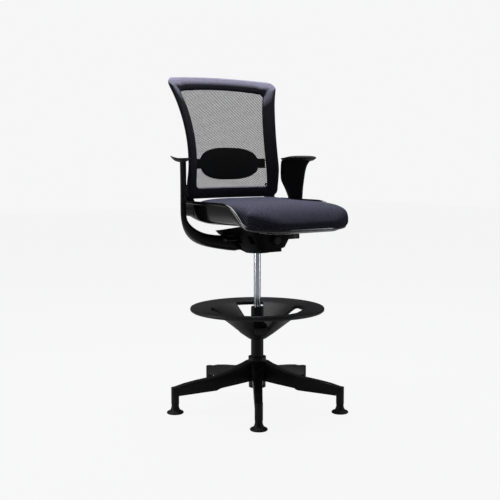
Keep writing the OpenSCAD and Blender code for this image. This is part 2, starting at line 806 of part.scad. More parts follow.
module seat_pad() {
  low = shell_low + shell_wall + soft_gap;
  side = shell_half_w - ear_t - soft_gap;
  top = low + pad_thick;
  color([0.16, 0.17, 0.24]) place() intersection() {
    rotate([90, 0, 90]) translate([0, 0, -pad_half_w]) linear_extrude(2 * pad_half_w) polygon([
      [seat_rear, low + 14], [100, low + 6], [60, low], [-170, low], [-205, low - 5],
      [-290, low - 11], [-seat_front + 14, low - 9], [-seat_front + 4, low + 3],
      [-seat_front, low + 0.26 * pad_thick], [-seat_front + 3, low + 0.43 * pad_thick],
      [-seat_front + 11, low + 0.6 * pad_thick], [-seat_front + 26, low + 0.76 * pad_thick],
      [-seat_front + 50, low + 0.89 * pad_thick], [-seat_front + 84, top - 2],
      [-180, top], [-60, top], [60, top + 4],
      [seat_rear - 22, top + 9], [seat_rear - 6, top + 5], [seat_rear, top - 6]
    ]);
    translate([0, 0, 600]) linear_extrude(400) polygon(concat(
      [[-side, seat_rear - 30], [-side + 10, seat_rear - 10], [-side + 30, seat_rear],
       [side - 30, seat_rear], [side - 10, seat_rear - 10], [side, seat_rear - 30],
       [side, -236], [pad_half_w - 4, -252]],
      [for (a = [0:15:90])
        [pad_half_w - pad_corner_w * (1 - cos(a)), -seat_front + pad_corner_l * (1 - sin(a))]],
      [for (a = [90:-15:0])
        [-pad_half_w + pad_corner_w * (1 - cos(a)), -seat_front + pad_corner_l * (1 - sin(a))]],
      [[-pad_half_w + 4, -252], [-side, -236]]));
  }
}

module seat_screws() {
  color([0.4, 0.4, 0.4]) place() at_seat_screws()
    translate([0, 0, shell_low - bracket_t]) {
      cylinder(d = seat_screw_d, h = bracket_t + 7);
      translate([0, 0, -4]) cylinder(d = 11, h = 4);
    }
}

module back_pivot_pins() {
  color([0.7, 0.7, 0.7]) place() both_sides()
    x_rod(pivot_d, upright_in + 14, shell_half_w - 1, pivot_y, pivot_z);
}

// ---------------------------------------------------------------- back

// Rear face of the frame where the uprights meet it
function rear_face(z) = back_y(upright_in, z) + back_t / 2 + soft_gap;

module back_upright() {
  difference() {
    union() {
      x_rod(2 * ear_r - 2, upright_in, upright_out, pivot_y, pivot_z);
      translate([upright_in, 0, 0]) rotate([90, 0, 90]) linear_extrude(upright_out - upright_in)
        polygon(concat(
          [for (z = [bar_low - 2, (bar_low + upright_top) / 2, upright_top]) [rear_face(z) + 0.5, z]],
          [[rear_face(upright_top) + 8, upright_top], [rear_face(screw_z) + 14, screw_z + 14],
           [rear_face(bar_low) + 13, bar_low + 4], [rear_face(bar_low) + 8, bar_low - 14],
           [pivot_y + 14, pivot_z - 8], [pivot_y - 14, pivot_z + 8]]));
    }
    x_rod(pivot_d + 2 * run_fit, upright_in + 13, upright_out + 1, pivot_y, pivot_z);
    y_rod(back_screw_d + 2 * seat_fit, rear_face(screw_z) - 20, rear_face(screw_z) + 40, screw_x, screw_z);
    // Recess for the screw's head
    y_rod(2 * back_screw_d + 1, rear_face(screw_z) + 16.8, rear_face(screw_z) + 40, screw_x, screw_z);
  }
}

module back_upright_left() { color([0.05, 0.05, 0.05]) place() back_upright(); }
module back_upright_right() { color([0.05, 0.05, 0.05]) place() mirror([1, 0, 0]) back_upright(); }

// The frame is a closed ring between an outer and an inner outline
module back_frame() {
  outer = panel_outline(bar_low, back_top, 0, corner_r);
  inner = panel_outline(opening_low, back_top - border_top, border_side, opening_corner_r);
  n = len(outer);
  function ring(t, off) = [for (i = [0:n - 1])
    on_back([mix(outer[i][0], inner[i][0], t), mix(outer[i][1], inner[i][1], t)], off)];
  rows = concat(
    [for (k = [0:border_rings]) ring(k / border_rings, -back_t / 2)],
    [for (k = [border_rings:-1:0]) ring(k / border_rings, back_t / 2)]);
  m = len(rows);
  color([0.09, 0.09, 0.1]) place() polyhedron(
    points = [for (row = rows) each row],
    faces = [for (r = [0:m - 1], i = [0:n - 1]) let (r2 = (r + 1) % m, j = (i + 1) % n)
      [r * n + i, r2 * n + i, r2 * n + j, r * n + j]]);
}

// The mesh is a sheet laid on the front of the frame, up to its outer edge
module back_mesh() {
  rows = 30;
  cols = 20;
  low = bar_low + 6;
  high = back_top - 6;
  function sheet_point(u, v) = let (
      z0 = mix(low, high, v),
      w = back_half(z0) - 6,
      corner = min(1, min(z0 - low, high - z0) / 30),
      half = w - 18 * sq(1 - corner),
      x = mix(-half, half, u),
      z = z0 - corner_drop * sq(x / w) * smooth((v - 0.75) * 4)
    ) [x, z];
  front = -back_t / 2 - mesh_gap - mesh_t;
  grid = [for (i = [0:rows], j = [0:cols]) sheet_point(j / cols, i / rows)];
  m = len(grid);
  c = cols + 1;
  rim = concat(
    [for (j = [0:cols - 1]) [j, j + 1]], [for (i = [0:rows - 1]) [i * c + cols, (i + 1) * c + cols]],
    [for (j = [cols:-1:1]) [rows * c + j, rows * c + j - 1]], [for (i = [rows:-1:1]) [i * c, (i - 1) * c]]);
  color([0.35, 0.35, 0.38]) place() polyhedron(
    points = concat([for (p = grid) on_back(p, front)], [for (p = grid) on_back(p, front + mesh_t)]),
    faces = concat(
      [for (i = [0:rows - 1], j = [0:cols - 1])
        [i * c + j, (i + 1) * c + j, (i + 1) * c + j + 1, i * c + j + 1]],
      [for (i = [0:rows - 1], j = [0:cols - 1])
        [m + i * c + j, m + i * c + j + 1, m + (i + 1) * c + j + 1, m + (i + 1) * c + j]],
      [for (e = rim) [e[0], e[1], m + e[1], m + e[0]]]));
}

module back_screws() {
  tip = rear_face(screw_z) + 2;
  color([0.4, 0.4, 0.4]) place() both_sides() {
    y_rod(back_screw_d, tip, tip + 15, screw_x, screw_z);
    y_rod(2 * back_screw_d, tip + 15, tip + 18, screw_x, screw_z);
  }
}

// ---------------------------------------------------------------- lumbar

module lumbar_pad() {
  depth = 14;
  mid_z = waist_z;
  cols = 24;
  front = 4;
  function rim_half(x) = lumbar_h / 2 * pow(1 - pow(abs(x / lumbar_half_w), 2.6), 1 / 2.6);
  xs = [for (j = [0:cols]) -lumbar_half_w * cos(j * 180 / cols) * 0.985];
  rows = 10;
  pts = [for (x = xs, k = [0:rows]) [x, mid_z + rim_half(x) * (2 * k / rows - 1)]];
  m = len(pts);
  c = rows + 1;
  rim = concat(
    [for (k = [0:rows - 1]) [k, k + 1]], [for (j = [0:cols - 1]) [j * c + rows, (j + 1) * c + rows]],
    [for (k = [rows:-1:1]) [cols * c + k, cols * c + k - 1]], [for (j = [cols:-1:1]) [j * c, (j - 1) * c]]);
  color([0.04, 0.04, 0.04]) place() polyhedron(
    points = concat([for (p = pts) on_back(p, front)], [for (p = pts) on_back(p, front + depth)]),
    faces = concat(
      [for (j = [0:cols - 1], k = [0:rows - 1])
        [j * c + k, j * c + k + 1, (j + 1) * c + k + 1, (j + 1) * c + k]],
      [for (j = [0:cols - 1], k = [0:rows - 1])
        [m + j * c + k, m + (j + 1) * c + k, m + (j + 1) * c + k + 1, m + j * c + k + 1]],
      [for (e = rim) [e[0], m + e[0], m + e[1], e[1]]]));
}

// A slide at each end of the pad, hooked behind the frame's side rail
module lumbar_slides() {
  y0 = back_y(lumbar_half_w + 20, waist_z) + back_t / 2 + soft_gap;
  color([0.05, 0.05, 0.05]) place() both_sides()
    translate([lumbar_half_w - 16, y0 + 6, waist_z - 20]) cube([54, 8, 40]);
}

base_spider();
glide_stems();
floor_glides();
lift_outer_tube();
guide_bush();
thrust_bearing();
bearing_washer();
rubber_buffer();
piston_rod();
piston_head();
rod_clip();
gas_cylinder();
rod_guide();
valve_pin();
footring_bowl();
footring_sleeve();
locking_collar();
mechanism_housing();
mechanism_cover();
tilt_axle();
tilt_spring();
tension_screw();
tension_knob();
lift_lever();
lever_pivot();
tilt_lock_lever();
yoke_left();
yoke_right();
yoke_bolts();
arm_pad_left();
arm_pad_right();
arm_pad_screws();
seat_bracket();
seat_shell();
seat_pad();
seat_screws();
back_pivot_pins();
back_upright_left();
back_upright_right();
back_frame();
back_mesh();
back_screws();
lumbar_pad();
lumbar_slides();
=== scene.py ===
import math

import bmesh
import bpy
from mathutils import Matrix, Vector


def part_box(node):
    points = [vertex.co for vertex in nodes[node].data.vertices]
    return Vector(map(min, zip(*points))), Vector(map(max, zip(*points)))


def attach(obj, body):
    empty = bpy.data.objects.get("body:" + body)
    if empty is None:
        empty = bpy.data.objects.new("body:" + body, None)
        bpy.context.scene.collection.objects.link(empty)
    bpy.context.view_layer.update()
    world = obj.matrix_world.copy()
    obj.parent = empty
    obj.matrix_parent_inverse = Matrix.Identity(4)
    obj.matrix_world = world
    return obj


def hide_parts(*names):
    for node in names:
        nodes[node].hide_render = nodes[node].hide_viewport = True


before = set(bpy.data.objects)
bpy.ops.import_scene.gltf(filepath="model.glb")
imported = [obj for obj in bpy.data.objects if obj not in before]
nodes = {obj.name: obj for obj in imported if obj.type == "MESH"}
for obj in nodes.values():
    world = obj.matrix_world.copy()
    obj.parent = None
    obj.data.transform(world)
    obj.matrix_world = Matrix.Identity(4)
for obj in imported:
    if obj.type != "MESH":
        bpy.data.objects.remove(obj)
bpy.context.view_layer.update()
scene = bpy.context.scene
scene.view_settings.view_transform = "Standard"

tube_low, tube_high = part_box("gas_cylinder")
axis = Vector(((tube_low.x + tube_high.x) / 2, (tube_low.y + tube_high.y) / 2, 0))

camera = bpy.data.objects.new("camera", bpy.data.cameras.new("camera"))
camera.data.lens = 68.7
camera.data.sensor_width = 36
camera.location = (-2.263, -3.025, 1.012)
camera_pitch, camera_turn = 84.21, -36.56
camera.rotation_euler = (math.radians(camera_pitch), 0, math.radians(camera_turn))
scene.collection.objects.link(camera)
scene.camera = camera

# ---- Studio: a plain pale floor and backdrop colour, one large soft light overhead and
# two tall soft lights at the sides that draw the streaks on the chromed cylinder.
world = bpy.data.worlds.new("studio")
scene.world = world
world.use_nodes = True
sky = world.node_tree
sky.nodes.clear()
sky_out = sky.nodes.new("ShaderNodeOutputWorld")
sky_mix = sky.nodes.new("ShaderNodeMixShader")
sky_seen = sky.nodes.new("ShaderNodeBackground")
sky_seen.inputs["Color"].default_value = (0.922, 0.922, 0.93, 1)
sky_light = sky.nodes.new("ShaderNodeBackground")
sky_light.inputs["Color"].default_value = (0.9, 0.93, 1, 1)
sky_light.inputs["Strength"].default_value = 0.07
sky_path = sky.nodes.new("ShaderNodeLightPath")
sky.links.new(sky_path.outputs["Is Camera Ray"], sky_mix.inputs["Fac"])
sky.links.new(sky_light.outputs[0], sky_mix.inputs[1])
sky.links.new(sky_seen.outputs[0], sky_mix.inputs[2])
sky.links.new(sky_mix.outputs[0], sky_out.inputs["Surface"])


def soft_light(name, place, aim, width, height, power, colour=(1, 1, 1)):
    lamp = bpy.data.lights.new(name, "AREA")
    lamp.shape, lamp.size, lamp.size_y = "RECTANGLE", width, height
    lamp.energy, lamp.color = power, colour
    holder = bpy.data.objects.new(name, lamp)
    holder.location = place
    holder.rotation_euler = (Vector(aim) - Vector(place)).to_track_quat("-Z", "Y").to_euler()
    scene.collection.objects.link(holder)


soft_light("overhead_light", (0.2, 0.5, 3.3), (0, 0, 0.6), 2.6, 2.2, 95, (0.97, 0.98, 1))
soft_light("left_light", (-2.5, 1.0, 1.3), (0, 0, 0.75), 0.7, 2.2, 25)
soft_light("right_light", (2.1, -2.3, 1.2), (0, 0, 0.6), 0.5, 2.2, 14, (0.85, 0.9, 1))

floor_mesh = bpy.data.meshes.new("floor")
bm = bmesh.new()
bmesh.ops.create_grid(bm, x_segments=2, y_segments=2, size=12)
bm.to_mesh(floor_mesh)
bm.free()
floor = bpy.data.objects.new("floor", floor_mesh)
scene.collection.objects.link(floor)
floor_finish = bpy.data.materials.new("floor_finish")
floor_finish.use_nodes = True
floor_tree = floor_finish.node_tree
floor_shader = floor_tree.nodes["Principled BSDF"]
floor_shader.inputs["Roughness"].default_value = 0.9
floor_shader.inputs["Specular IOR Level"].default_value = 0.02
floor_shader.inputs["Emission Color"].default_value = (1, 1, 1.008, 1)
# Seen straight on, the floor is as pale as the backdrop and takes only a faint shadow
floor_path = floor_tree.nodes.new("ShaderNodeLightPath")
for socket, straight, bounced in (("Emission Strength", 0.905, 0.1), ("Base Color", 0.035, 0.5)):
    blend = floor_tree.nodes.new("ShaderNodeMapRange")
    blend.inputs["To Min"].default_value = bounced
    blend.inputs["To Max"].default_value = straight
    floor_tree.links.new(floor_path.outputs["Is Camera Ray"], blend.inputs["Value"])
    floor_tree.links.new(blend.outputs["Result"], floor_shader.inputs[socket])
floor_mesh.materials.append(floor_finish)

# ---- Base: one five-leg spider moulded in black glass-filled nylon, with a hub that grips
# the column, and five pressed-in glides. The finish is a satin spark-eroded grain.


def new_group(name, inputs, outputs):
    group = bpy.data.node_groups.new(name, "ShaderNodeTree")
    for label, kind, value in inputs:
        socket = group.interface.new_socket(label, in_out="INPUT", socket_type=kind)
        socket.default_value = value
    for label, kind in outputs:
        group.interface.new_socket(label, in_out="OUTPUT", socket_type=kind)
    return group, group.nodes.new("NodeGroupInput"), group.nodes.new("NodeGroupOutput")


def arithmetic(tree, operation, first, second=None, third=None, clamp=False):
    node = tree.nodes.new("ShaderNodeMath")
    node.operation, node.use_clamp = operation, clamp
    for place, value in enumerate((first, second, third)):
        if value is None:
            continue
        if isinstance(value, (int, float)):
            node.inputs[place].default_value = value
        else:
            tree.links.new(value, node.inputs[place])
    return node.outputs[0]


# Moulded grain: a fine eroded texture for the bump and a slow drift of gloss
grain, grain_in, grain_out = new_group(
    "moulded_grain",
    [("Fineness", "NodeSocketFloat", 700), ("Roughness", "NodeSocketFloat", 0.4),
     ("Drift", "NodeSocketFloat", 0.08)],
    [("Height", "NodeSocketFloat"), ("Roughness", "NodeSocketFloat")])
where = grain.nodes.new("ShaderNodeTexCoord")
pits = grain.nodes.new("ShaderNodeTexNoise")
pits.inputs["Detail"].default_value = 2
grain.links.new(where.outputs["Object"], pits.inputs["Vector"])
grain.links.new(grain_in.outputs["Fineness"], pits.inputs["Scale"])
cloud = grain.nodes.new("ShaderNodeTexNoise")
cloud.inputs["Scale"].default_value = 9
cloud.inputs["Detail"].default_value = 4
grain.links.new(where.outputs["Object"], cloud.inputs["Vector"])
swing = arithmetic(grain, "SUBTRACT", cloud.outputs["Fac"], 0.5)
swing = arithmetic(grain, "MULTIPLY", swing, grain_in.outputs["Drift"])
fine = arithmetic(grain, "MULTIPLY_ADD", pits.outputs["Fac"], 0.05, grain_in.outputs["Roughness"])
grain.links.new(pits.outputs["Fac"], grain_out.inputs["Height"])
grain.links.new(arithmetic(grain, "ADD", fine, swing), grain_out.inputs["Roughness"])

# Settled dust: a mottled mask on what faces up
dust, dust_in, dust_out = new_group(
    "settled_dust", [("Amount", "NodeSocketFloat", 0.1)], [("Mask", "NodeSocketFloat")])
facing = dust.nodes.new("ShaderNodeNewGeometry")
split = dust.nodes.new("ShaderNodeSeparateXYZ")
dust.links.new(facing.outputs["Normal"], split.inputs[0])
spots = dust.nodes.new("ShaderNodeTexNoise")
spots.inputs["Scale"].default_value = 38
spots.inputs["Detail"].default_value = 6
dust_where = dust.nodes.new("ShaderNodeTexCoord")
dust.links.new(dust_where.outputs["Object"], spots.inputs["Vector"])
upward = arithmetic(dust, "POWER", arithmetic(dust, "MAXIMUM", split.outputs["Z"], 0.0), 2.0)
patchy = arithmetic(dust, "MULTIPLY_ADD", spots.outputs["Fac"], 1.6, -0.35, clamp=True)
amount = arithmetic(dust, "MULTIPLY", upward, patchy)
dust.links.new(arithmetic(dust, "MULTIPLY", amount, dust_in.outputs["Amount"]), dust_out.inputs["Mask"])


def place_group(tree, group, **values):
    node = tree.nodes.new("ShaderNodeGroup")
    node.node_tree = group
    for label, value in values.items():
        node.inputs[label].default_value = value
    return node


def blank_material(name):
    material = bpy.data.materials.new(name)
    material.use_nodes = True
    tree = material.node_tree
    return material, tree, tree.nodes["Principled BSDF"]


def moulded(name, colour, roughness, fineness, depth, coat=0.0, level=0.4, dusty=0.06, drift=0.08):
    """Black plastics and paints: grain in the bump, drifting gloss, a little dust on top."""
    material, tree, shader = blank_material(name)
    skin = place_group(tree, grain, Fineness=fineness, Roughness=roughness, Drift=drift)
    film = place_group(tree, dust, Amount=dusty)
    tint = tree.nodes.new("ShaderNodeMix")
    tint.data_type = "RGBA"
    tint.inputs["A"].default_value = (*colour, 1)
    tint.inputs["B"].default_value = (0.32, 0.31, 0.3, 1)
    tree.links.new(film.outputs["Mask"], tint.inputs["Factor"])
    tree.links.new(tint.outputs["Result"], shader.inputs["Base Color"])
    tree.links.new(skin.outputs["Roughness"], shader.inputs["Roughness"])
    bump = tree.nodes.new("ShaderNodeBump")
    bump.inputs["Distance"].default_value = depth
    bump.inputs["Strength"].default_value = 0.6
    tree.links.new(skin.outputs["Height"], bump.inputs["Height"])
    tree.links.new(bump.outputs["Normal"], shader.inputs["Normal"])
    shader.inputs["Specular IOR Level"].default_value = level
    shader.inputs["Coat Weight"].default_value = coat
    shader.inputs["Coat Roughness"].default_value = 0.08
    return material


def dress(material, *names):
    """Gives CAD nodes that are shown as they are their finish."""
    for name in names:
        mesh = nodes[name].data
        mesh.materials.clear()
        mesh.materials.append(material)


def make_piece(name, bm, material, body, stands_for=(), crease=38):
    mesh = bpy.data.meshes.new(name)
    bmesh.ops.recalc_face_normals(bm, faces=bm.faces)
    bm.to_mesh(mesh)
    bm.free()
    mesh.materials.append(material)
    for face in mesh.polygons:
        face.use_smooth = True
    mesh.set_sharp_from_angle(angle=math.radians(crease))
    piece = bpy.data.objects.new(name, mesh)
    scene.collection.objects.link(piece)
    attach(piece, body)
    if stands_for:
        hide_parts(*stands_for)
    return piece


def rounded_copy(node, edge, material, body, steps=2, corner=28):
    """A CAD node's own shape with its sharp corners rounded over, as a mould leaves them."""
    bm = bmesh.new()
    bm.from_mesh(nodes[node].data)
    bmesh.ops.remove_doubles(bm, verts=bm.verts, dist=2e-5)
    bmesh.ops.dissolve_limit(bm, angle_limit=math.radians(0.6), verts=bm.verts, edges=bm.edges)
    sharp = [e for e in bm.edges if e.is_manifold and e.calc_face_angle(0) > math.radians(corner)]
    bmesh.ops.bevel(bm, geom=sharp, offset=edge, offset_type="OFFSET", segments=steps,
                    profile=0.5, affect="EDGES", material=-1, clamp_overlap=True)
    bmesh.ops.remove_doubles(bm, verts=bm.verts, dist=1e-6)
    return make_piece(node + "_moulded", bm, material, body, (node,))


base_black = moulded("base_black", (0.0018, 0.0016, 0.002), 0.34, 900, 0.00012, level=0.26, dusty=0.02)
glide_black = moulded("glide_black", (0.004, 0.004, 0.004), 0.5, 700, 0.0001, level=0.25)
rounded_copy("base_spider", 0.0035, base_black, "root", steps=3)
dress(glide_black, "floor_glides")


# ---- Column: powder-coated outer tube, chromed cylinder, zinc-plated and rubber inner parts.
# The outer tube is pressed into the hub, and the cylinder slides in its bush.
def metal(name, colour, roughness, fineness, depth, stretch=(1, 1, 1), level=0.5):
    """Plated steel with fine drawn lines along one direction."""
    material, tree, shader = blank_material(name)
    place = tree.nodes.new("ShaderNodeTexCoord")
    turn = tree.nodes.new("ShaderNodeMapping")
    turn.inputs["Scale"].default_value = stretch
    lines = tree.nodes.new("ShaderNodeTexNoise")
    lines.inputs["Scale"].default_value = fineness
    lines.inputs["Detail"].default_value = 3
    tree.links.new(place.outputs["Object"], turn.inputs["Vector"])
    tree.links.new(turn.outputs["Vector"], lines.inputs["Vector"])
    shade = tree.nodes.new("ShaderNodeMapRange")
    shade.inputs["To Min"].default_value = roughness * 0.7
    shade.inputs["To Max"].default_value = roughness * 1.4
    tree.links.new(lines.outputs["Fac"], shade.inputs["Value"])
    tree.links.new(shade.outputs["Result"], shader.inputs["Roughness"])
    bump = tree.nodes.new("ShaderNodeBump")
    bump.inputs["Distance"].default_value = depth
    bump.inputs["Strength"].default_value = 0.4
    tree.links.new(lines.outputs["Fac"], bump.inputs["Height"])
    tree.links.new(bump.outputs["Normal"], shader.inputs["Normal"])
    tint = tree.nodes.new("ShaderNodeMix")
    tint.data_type = "RGBA"
    tint.inputs["A"].default_value = (*[c * 0.93 for c in colour], 1)
    tint.inputs["B"].default_value = (*colour, 1)
    tree.links.new(lines.outputs["Fac"], tint.inputs["Factor"])
    tree.links.new(tint.outputs["Result"], shader.inputs["Base Color"])
    shader.inputs["Metallic"].default_value = 1
    shader.inputs["Specular IOR Level"].default_value = level
    return material


chrome = metal("chrome", (0.9, 0.94, 1.0), 0.16, 500, 0.00001, (1, 1, 0.04))
zinc_steel = metal("zinc_steel", (0.5, 0.51, 0.53), 0.3, 600, 0.00003, (1, 1, 0.2))
brass_yellow = metal("brass_yellow", (0.6, 0.45, 0.2), 0.28, 600, 0.00003)
column_black = moulded("column_black", (0.003, 0.003, 0.003), 0.42, 1400, 0.00006, level=0.25, dusty=0.02)
rubber_black = moulded("rubber_black", (0.02, 0.02, 0.02), 0.75, 500, 0.0001, level=0.25)
dress(column_black, "lift_outer_tube", "piston_head")
dress(chrome, "gas_cylinder")
dress(zinc_steel, "glide_stems", "thrust_bearing", "bearing_washer", "piston_rod", "rod_clip")
dress(brass_yellow, "valve_pin")
dress(rubber_black, "rubber_buffer")
dress(glide_black, "guide_bush", "rod_guide")

# ---- Foot ring: a bowl moulded in dark grey plastic with a flat tread and four windows,
# on a split sleeve that a turning collar clamps to the column.
ring_grey = moulded("ring_grey", (0.009, 0.0078, 0.0088), 0.44, 800, 0.00016, level=0.36, dusty=0.03)
rounded_copy("footring_bowl", 0.003, ring_grey, "foot_ring", steps=3, corner=35)
rounded_copy("locking_collar", 0.001, glide_black, "ring_lock")
dress(glide_black, "footring_sleeve")

# ---- Tilt mechanism: a pressed steel tray on the cylinder's taper inside a moulded fairing,
# with the tilt axle, the tension screw and knob, and a lever on each side.
arm_black = moulded("arm_black", (0.0016, 0.0013, 0.0016), 0.34, 850, 0.0001, level=0.24, dusty=0.01)
mechanism_paint = moulded("mechanism_paint", (0.001, 0.0008, 0.001), 0.55, 1200, 0.00008, level=0.08,
                          dusty=0.0)
rounded_copy("mechanism_cover", 0.002, mechanism_paint, "chassis")
rounded_copy("lift_lever", 0.0015, arm_black, "lift_handle")
rounded_copy("tilt_lock_lever", 0.0015, arm_black, "lock_handle")
rounded_copy("tension_knob", 0.001, glide_black, "tension")
dress(mechanism_paint, "mechanism_housing", "seat_bracket")
dress(zinc_steel, "tilt_axle", "tilt_spring", "tension_screw", "lever_pivot", "yoke_bolts",
      "seat_screws", "arm_pad_screws", "back_pivot_pins")

# ---- Arm yokes: two black nylon arms bolted to the tray, each rising in one sweep from a wide
# root to a flat blade that flares under the arm pad.
toe = math.radians(36)


def on_arm(out, ahead, height, side=1):
    """A point by its distance out from the column square to the blade, and along the blade."""
    x = out * math.cos(toe) + ahead * math.sin(toe)
    y = out * math.sin(toe) - ahead * math.cos(toe)
    return Vector((x * side, y, height)) + axis


def loft(bm, stations, sides=28, closed=False):
    """Rings of rounded-rectangle section joined in turn. A station is the ring's middle,
    its half width and half thickness as vectors, and how square its corners are."""
    rings = []
    for middle, across, through, square in stations:
        ring = bmesh.ops.create_circle(bm, segments=sides, radius=1)["verts"]
        power = 2 / square
        for v in ring:
            c, s = v.co.x, v.co.y
            c = math.copysign(abs(c) ** power, c)
            s = math.copysign(abs(s) ** power, s)
            v.co = middle + across * c + through * s
        inside = set(ring)
        rings.append(list({e for v in ring for e in v.link_edges if set(e.verts) <= inside}))
    pairs = list(zip(rings, rings[1:]))
    if closed:
        pairs.append((rings[-1], rings[0]))
    for first, second in pairs:
        bmesh.ops.bridge_loops(bm, edges=first + second)
    if not closed:
        for end in (rings[0], rings[-1]):
            bmesh.ops.edgeloop_fill(bm, edges=end)
    return rings


# Middle, half width and half thickness of the lower arm, from its root to the blade
lower_arm = [
    ((0.046, 0.061, 0.655), (0, -0.037, 0), (0, 0, -0.033)),
    ((0.100, 0.071, 0.6595), (0, -0.0365, 0), (0, 0, -0.0288)),
    ((0.150, 0.082, 0.666), (0, -0.036, 0), (0.002, 0, -0.026)),
    ((0.192, 0.0905, 0.675), (0.002, -0.035, 0), (0.006, 0, -0.024)),
    ((0.222, 0.0955, 0.6875), (0.005, -0.033, 0), (0.0135, 0.003, -0.019)),
    ((0.246, 0.099, 0.705), (0.009, -0.030, 0), (0.0155, 0.005, -0.0125)),
    ((0.264, 0.101, 0.727), (0.0125, -0.0262, 0), (0.0135, 0.007, -0.006)),
    ((0.2745, 0.1025, 0.748), (0.0145, -0.0235, 0), (0.0105, 0.0065, -0.0015)),
]
# Height of the blade, and how far ahead its rear and front edges stand
blade = [
    (0.770, 0.054, 0.108), (0.814, 0.0535, 0.109), (0.847, 0.042, 0.1105), (0.877, 0.028, 0.113),
    (0.896, 0.0165, 0.116), (0.920, 0.014, 0.119), (0.942, 0.0145, 0.1226), (0.963, 0.015, 0.129),
    (0.978, 0.0165, 0.139), (0.989, 0.019, 0.155),
]
blade_out = 0.287
blade_half = 0.0105
for side, label in ((1, "left"), (-1, "right")):
    bm = bmesh.new()
    stations = []
    for middle, across, through in lower_arm:
        flip = Vector((side, 1, 1))
        stations.append((Vector(middle) * flip + axis, Vector(across) * flip, Vector(through) * flip, 3.4))
    along = on_arm(0, 1, 0, side) - axis
    outward = on_arm(1, 0, 0, side) - axis
    for height, rear, front in blade:
        middle = on_arm(blade_out, (rear + front) / 2, height, side)
        stations.append((middle, along * (front - rear) / 2, outward * blade_half, 3.6))
    loft(bm, stations, sides=32)
    yoke = make_piece("arm_yoke_" + label, bm, arm_black, "chassis",
                      ("yoke_" + label,), crease=50)
    smoothing = yoke.modifiers.new("moulding", "SUBSURF")
    smoothing.levels = smoothing.render_levels = 1

# ---- Arm pads: a soft-touch saddle screwed to each blade, dished along its length with thin
# lips that flare up at both sides.
pad_touch = moulded("pad_touch", (0.0045, 0.0045, 0.005), 0.44, 1100, 0.00014, level=0.35, dusty=0.03)
pad_out = 0.294
pad_ahead = 0.090
pad_half_w = 0.040
pad_half_l = 0.074
lip_outer, lip_inner = 0.0085, 0.002
end_drop, front_rise = 0.003, 0.0035
edge_thick, core_thick = 0.0035, 0.012
for side, label in ((1, "left"), (-1, "right")):
    low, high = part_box("arm_pad_" + label)
    bm = bmesh.new()
    bmesh.ops.create_cube(bm, size=2)
    bmesh.ops.subdivide_edges(bm, edges=bm.edges, cuts=13, use_grid_fill=True)
    for v in bm.verts:
        a, b, c = v.co
        rim = max(abs(a), abs(b), 1e-6)
        length = (abs(a / rim) ** 3 + abs(b / rim) ** 3) ** (-1 / 3)
        a, b = a * length, b * length
        lip = abs(a) ** 2.2
        crown = high.z - lip_outer + (lip_outer if a > 0 else lip_inner) * lip
        crown = crown - end_drop * abs(b) ** 3 + front_rise * max(0, b) ** 2
        thick = core_thick * (1 - lip) + edge_thick
        thick *= (1 - 0.75 * rim ** 10)
        height = crown - thick * (1 - c) / 2
        v.co = on_arm(pad_out + a * pad_half_w, pad_ahead + b * pad_half_l, height, side)
    pad = make_piece("arm_pad_top_" + label, bm, pad_touch, "chassis",
                     ("arm_pad_" + label,), crease=60)
    smoothing = pad.modifiers.new("moulding", "SUBSURF")
    smoothing.levels = smoothing.render_levels = 1

# ---- Seat shell: a tub moulded in glossy black, whose side rails sweep down in an S to a thin
# lip round the front. It is screwed to the tilting bracket, and its ears carry the back.
gloss_black = moulded("gloss_black", (0.003, 0.0025, 0.003), 0.15, 500, 0.00003, coat=0.6, level=0.5,
                      dusty=0.0, drift=0.06)
shell_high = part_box("seat_shell")[1]
rail_top = [(0.146, 0.820), (-0.100, 0.820), (-0.135, 0.815), (-0.160, 0.802), (-0.188, 0.782),
            (-0.208, 0.762), (-0.228, 0.748), (-0.257, 0.738), (-0.325, 0.730)]
rail_low = [(0.146, 0.758), (0.123, 0.750), (0.082, 0.741), (0.042, 0.737), (-0.034, 0.739),
            (-0.160, 0.741), (-0.185, 0.737), (-0.208, 0.730), (-0.290, 0.718), (-0.325, 0.716)]


def follow(line, where):
    """A smooth height along a line of points that runs from the rear to the front."""
    for (y0, z0), (y1, z1) in zip(line, line[1:]):
        if where >= y1 or (y1, z1) == line[-1]:
            t = min(1, max(0, (y0 - where) / (y0 - y1)))
            return z0 + (z1 - z0) * t
    return line[-1][1]


def eased(line, where, reach=0.014):
    """The same line with its corners worn soft."""
    steps = [-1, -0.5, 0, 0.5, 1]
    return sum(follow(line, where + reach * s) for s in steps) / len(steps)


shell_half = shell_high.x
shell_wall = 0.0105
front_edge = -0.318
rear_edge = 0.146
# The plan's front corners: where they begin, and their length and width
corner_begin = 0.226
corner_length = 0.092
corner_width = 0.140
steepest = 0.97
# The floor takes up this share of the half width and the rail the rest
floor_share = 0.55
floor_rise = 0.012
rail_lean = 0.010
bm = bmesh.new()
bmesh.ops.create_grid(bm, x_segments=56, y_segments=72, size=1)
for v in bm.verts:
    u, t = v.co.x, (v.co.y + 1) / 2
    y = front_edge + (rear_edge - front_edge) * t
    top, low = eased(rail_top, y), eased(rail_low, y)
    reach = abs(u)
    corner = min(steepest, max(0, (-y - corner_begin) / corner_length))
    half = shell_half - corner_width * (1 - math.sqrt(1 - corner ** 2))
    if reach > floor_share:
        k = (reach - floor_share) / (1 - floor_share)
        x = half
        z = low + floor_rise + (top - low - floor_rise) * k
        x -= rail_lean * (1 - k) ** 3
    else:
        k = reach / floor_share
        turn = max(0, (k - 0.72) / 0.28)
        x = (half - rail_lean) * k
        z = low + floor_rise * turn ** 2.2
    lift = 0.016 * max(0, (-y - 0.300) / 0.018) ** 2
    z = z + min(lift, floor_rise) if reach < floor_share else z
    v.co = Vector((math.copysign(x, u), y, z)) + axis
bmesh.ops.recalc_face_normals(bm, faces=bm.faces)
